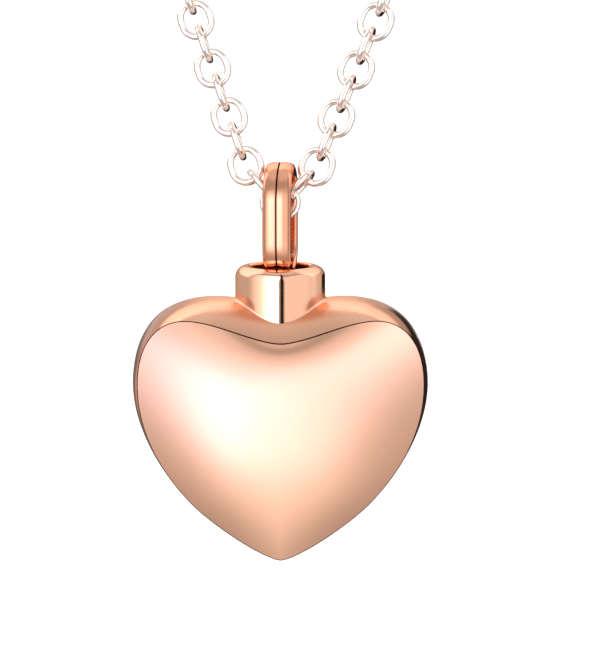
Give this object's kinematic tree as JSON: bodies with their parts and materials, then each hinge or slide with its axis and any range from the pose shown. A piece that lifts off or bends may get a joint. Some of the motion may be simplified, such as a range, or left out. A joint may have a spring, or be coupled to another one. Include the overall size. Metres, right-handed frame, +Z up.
{
  "type": "keepsake urn pendant on a cable chain",
  "caption": "Hollow rose gold heart urn pendant with a screw stopper and a tall bail, hanging on a whole cable chain with a plain barrel clasp.",
  "frame": {"origin": "middle of the clasp, where the chain lies on the nape", "axes": "+Z up, +X across to the right in a front view, -Y the way the pendant's front faces"},
  "size_m": [0.1036, 0.0564, 0.2111],
  "materials": {
    "heart_metal": "polished rose gold plate with soft, broad reflections",
    "stopper_metal": "mirror polished rose gold plate",
    "chain_metal": "bright polished rose gold plate",
    "clasp_metal": "bright polished rose gold plate"
  },
  "bodies": {
    "necklace": {"chain_left": "chain_metal", "chain_right": "chain_metal", "clasp": "clasp_metal"},
    "stopper": {"stopper": "stopper_metal"},
    "urn": {"heart_urn": "heart_metal"}
  },
  "joints": [
    {"name": "pendant_swing", "type": "hinge", "parent": "necklace", "child": "stopper", "pos_m": [0, -0.04907, -0.18312], "axis": [1, 0, 0], "range_deg": [-60, 60]},
    {"name": "heart_unscrew", "type": "slide", "parent": "stopper", "child": "urn", "axis": [0, 0, -1], "range_m": [0, 0.0062]}
  ]
}
